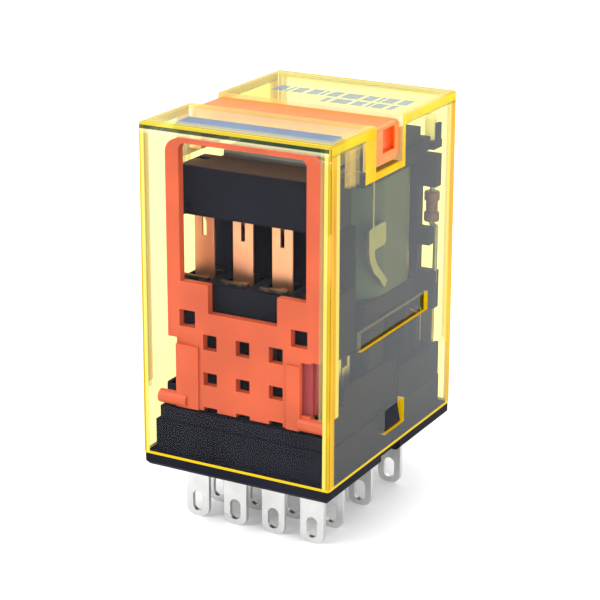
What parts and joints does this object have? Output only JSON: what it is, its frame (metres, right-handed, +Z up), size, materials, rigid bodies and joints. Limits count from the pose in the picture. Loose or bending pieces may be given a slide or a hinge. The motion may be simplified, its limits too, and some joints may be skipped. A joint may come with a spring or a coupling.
{
  "type": "plug-in relay",
  "caption": "Plug-in changeover relay: clear yellow cover over an open contact set and coil, orange check button across the top, flat blades with eyelets below a black base.",
  "frame": {"origin": "centre of the base's underside, the face that seats on the socket", "axes": "+Z up out of the socket towards the top of the cover, +Y from the contact side to the coil side, +X to the right seen from the contact side"},
  "size_m": [0.021, 0.0276, 0.0417],
  "materials": {
    "cover_clear": "gloss",
    "black_plastic": "satin",
    "card_red": "satin",
    "button_orange": "gloss",
    "blade_tin": "satin",
    "spring_copper": "satin",
    "contact_silver": "satin",
    "magnet_steel": "satin",
    "winding_copper": "gloss",
    "coil_wrap": "satin",
    "spring_steel": "satin",
    "marking_blue": "matte",
    "marking_dark": "matte",
    "resistor_brown": "satin",
    "lamp_clear": "gloss"
  },
  "bodies": {
    "housing": {"base": "black_plastic", "bobbin": "black_plastic", "coil_lead_left": "winding_copper", "coil_lead_right": "winding_copper", "coil_tape": "coil_wrap", "coil_terminal_left": "blade_tin", "coil_terminal_right": "blade_tin", "coil_winding": "winding_copper", "com_terminal_1": "blade_tin", "com_terminal_2": "blade_tin", "com_terminal_3": "blade_tin", "com_terminal_4": "blade_tin", "component_holder": "black_plastic", "contact_block": "black_plastic", "core": "magnet_steel", "cover": "cover_clear", "led": "lamp_clear", "led_lead": "spring_steel", "marking_carrier": "marking_dark", "marking_plate": "marking_blue", "nc_contacts": "contact_silver", "nc_terminal_1": "blade_tin", "nc_terminal_2": "blade_tin", "nc_terminal_3": "blade_tin", "nc_terminal_4": "blade_tin", "no_contacts": "contact_silver", "no_terminal_1": "blade_tin", "no_terminal_2": "blade_tin", "no_terminal_3": "blade_tin", "no_terminal_4": "blade_tin", "pigtail_1": "spring_copper", "pigtail_2": "spring_copper", "pigtail_3": "spring_copper", "pigtail_4": "spring_copper", "resistor": "resistor_brown", "resistor_leads": "spring_steel", "return_spring": "spring_steel", "yoke": "magnet_steel"},
    "armature_assembly": {"armature": "magnet_steel", "moving_block": "black_plastic", "moving_contacts": "contact_silver", "movable_spring_1": "spring_copper", "movable_spring_2": "spring_copper", "movable_spring_3": "spring_copper", "movable_spring_4": "spring_copper"},
    "card_flap": {"card": "card_red"},
    "button": {"check_button": "button_orange"}
  },
  "joints": [
    {"name": "armature_pivot", "type": "hinge", "parent": "housing", "child": "armature_assembly", "pos_m": [0, -0.0034, 0.0299], "axis": [-1, 0, 0], "range_deg": [0, 3], "stiffness_Nm_per_rad": 0.01, "springref_deg": -11.46},
    {"name": "card_tilt", "type": "hinge", "parent": "housing", "child": "card_flap", "pos_m": [0, -0.0119, 0.007], "axis": [1, 0, 0], "range_deg": [0, 0.57]},
    {"name": "button_press", "type": "slide", "parent": "housing", "child": "button", "axis": [0, 0, -1], "range_m": [0, 0.00035], "stiffness_N_per_m": 400, "springref_m": -0.001}
  ],
  "couplings": [
    {"joint": "card_tilt", "follows": "armature_pivot", "ratio": 0.19}
  ]
}
